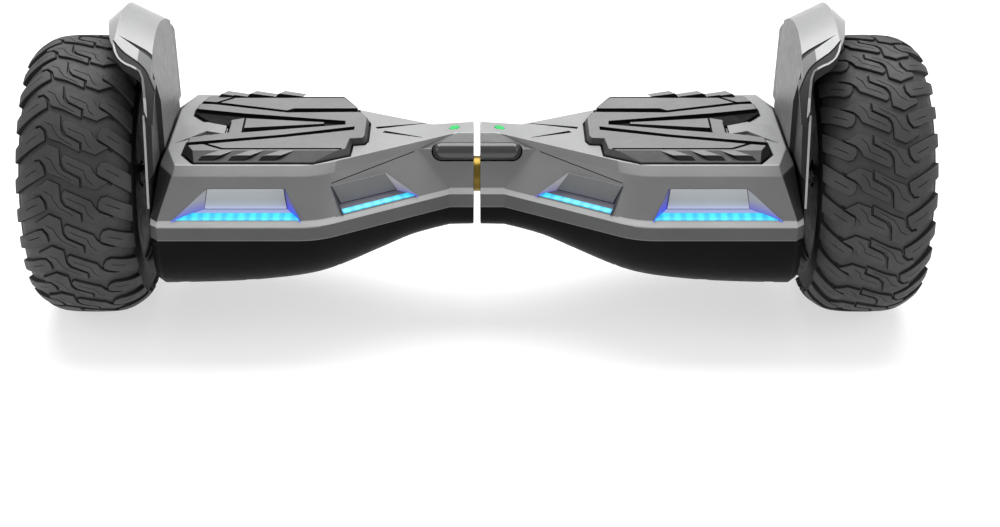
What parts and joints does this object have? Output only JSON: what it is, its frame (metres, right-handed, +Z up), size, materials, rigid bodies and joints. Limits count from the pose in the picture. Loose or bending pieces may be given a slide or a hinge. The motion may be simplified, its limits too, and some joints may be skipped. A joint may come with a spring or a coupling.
{
  "type": "self-balancing hoverboard",
  "caption": "Two-wheeled self-balancing board: hinged waisted halves with footpads, light windows, fat lugged tyres on hub motors and raised fenders.",
  "frame": {"origin": "on the ground, midway between the wheels, below the common axle and pivot axis", "axes": "+X along the board to the rider's right when it is seen from the front of the picture, +Y to the rear, +Z up"},
  "size_m": [0.688, 0.2182, 0.239],
  "materials": {
    "upper_plastic": "satin gunmetal paint over moulded ABS",
    "lower_plastic": "black moulded ABS, fine satin texture",
    "fender_plastic": "satin silver-grey paint over moulded ABS",
    "pad_rubber": "matt moulded rubber tread",
    "tyre_rubber": "matt black tyre rubber with moulded tread",
    "gloss_trim": "dark glossy plastic",
    "panel_plastic": "satin grey moulded panel",
    "green_lens": "lit green lens",
    "cyan_light": "lit cyan diffuser bar",
    "cast_aluminium": "cast, bead blasted",
    "circuit_board": "solder-masked board with parts",
    "black_plastic": "moulded nylon",
    "hub_paint": "satin black painted hub",
    "magnet_steel": "laminated and plated steel",
    "bare_steel": "turned steel",
    "zinc_steel": "black zinc plated screws",
    "gold_zinc": "yellow zinc plated tube",
    "bronze": "sintered bronze",
    "battery_wrap": "blue shrink wrap",
    "port_metal": "nickel plated",
    "soft_rubber": "soft black rubber"
  },
  "bodies": {
    "left_half": {"left_top_cover": "upper_plastic", "left_bottom_cover": "lower_plastic", "left_cover_screws": "zinc_steel", "left_fender": "fender_plastic", "left_indicator": "green_lens", "left_center_trim": "gloss_trim", "left_outer_light": "cyan_light", "left_inner_light": "cyan_light", "left_light_panels": "panel_plastic", "left_axle_clamp": "cast_aluminium", "left_sensor_board": "circuit_board", "left_sensor_switches": "black_plastic", "left_chassis": "cast_aluminium", "left_motor_axle": "bare_steel", "left_motor_stator": "magnet_steel", "pivot_shaft": "gold_zinc", "pivot_stop_plate": "bare_steel", "battery_pack": "battery_wrap", "battery_bracket": "cast_aluminium", "charge_socket": "port_metal"},
    "right_half": {"right_top_cover": "upper_plastic", "right_bottom_cover": "lower_plastic", "right_cover_screws": "zinc_steel", "right_fender": "fender_plastic", "right_indicator": "green_lens", "right_center_trim": "gloss_trim", "right_outer_light": "cyan_light", "right_inner_light": "cyan_light", "right_light_panels": "panel_plastic", "right_axle_clamp": "cast_aluminium", "right_sensor_board": "circuit_board", "right_sensor_switches": "black_plastic", "right_chassis": "cast_aluminium", "right_motor_axle": "bare_steel", "right_motor_stator": "magnet_steel", "pivot_bushings": "bronze", "main_board": "circuit_board", "heat_sink": "cast_aluminium", "power_switch": "port_metal"},
    "left_wheel": {"left_tyre": "tyre_rubber", "left_hub_shell": "hub_paint", "left_hub_cover": "hub_paint", "left_motor_magnets": "magnet_steel", "left_motor_bearings": "bare_steel"},
    "right_wheel": {"right_tyre": "tyre_rubber", "right_hub_shell": "hub_paint", "right_hub_cover": "hub_paint", "right_motor_magnets": "magnet_steel", "right_motor_bearings": "bare_steel"},
    "left_pad": {"left_footpad": "pad_rubber", "left_pad_plungers": "black_plastic"},
    "right_pad": {"right_footpad": "pad_rubber", "right_pad_plungers": "black_plastic"},
    "charge_flap": {"charge_cap": "soft_rubber"},
    "power_key": {"power_button": "soft_rubber"}
  },
  "joints": [
    {"name": "center_pivot", "type": "hinge", "parent": "left_half", "child": "right_half", "pos_m": [0, 0, 0.108], "axis": [1, 0, 0], "range_deg": [-12, 12]},
    {"name": "left_wheel_spin", "type": "hinge", "parent": "left_half", "child": "left_wheel", "pos_m": [-0.298, 0, 0.108], "axis": [1, 0, 0], "continuous": true},
    {"name": "right_wheel_spin", "type": "hinge", "parent": "right_half", "child": "right_wheel", "pos_m": [0.298, 0, 0.108], "axis": [1, 0, 0], "continuous": true},
    {"name": "left_pad_press", "type": "slide", "parent": "left_half", "child": "left_pad", "axis": [0, 0, 1], "range_m": [-0.0015, 0], "stiffness_N_per_m": 20000},
    {"name": "right_pad_press", "type": "slide", "parent": "right_half", "child": "right_pad", "axis": [0, 0, 1], "range_m": [-0.0015, 0], "stiffness_N_per_m": 20000},
    {"name": "charge_cap_hinge", "type": "hinge", "parent": "left_half", "child": "charge_flap", "pos_m": [-0.185, 0.1084, 0.0975], "axis": [1, 0, 0], "range_deg": [0, 110], "stiffness_Nm_per_rad": 0.02},
    {"name": "power_button_press", "type": "slide", "parent": "right_half", "child": "power_key", "axis": [0, -1, 0], "range_m": [0, 0.0015], "stiffness_N_per_m": 800}
  ]
}
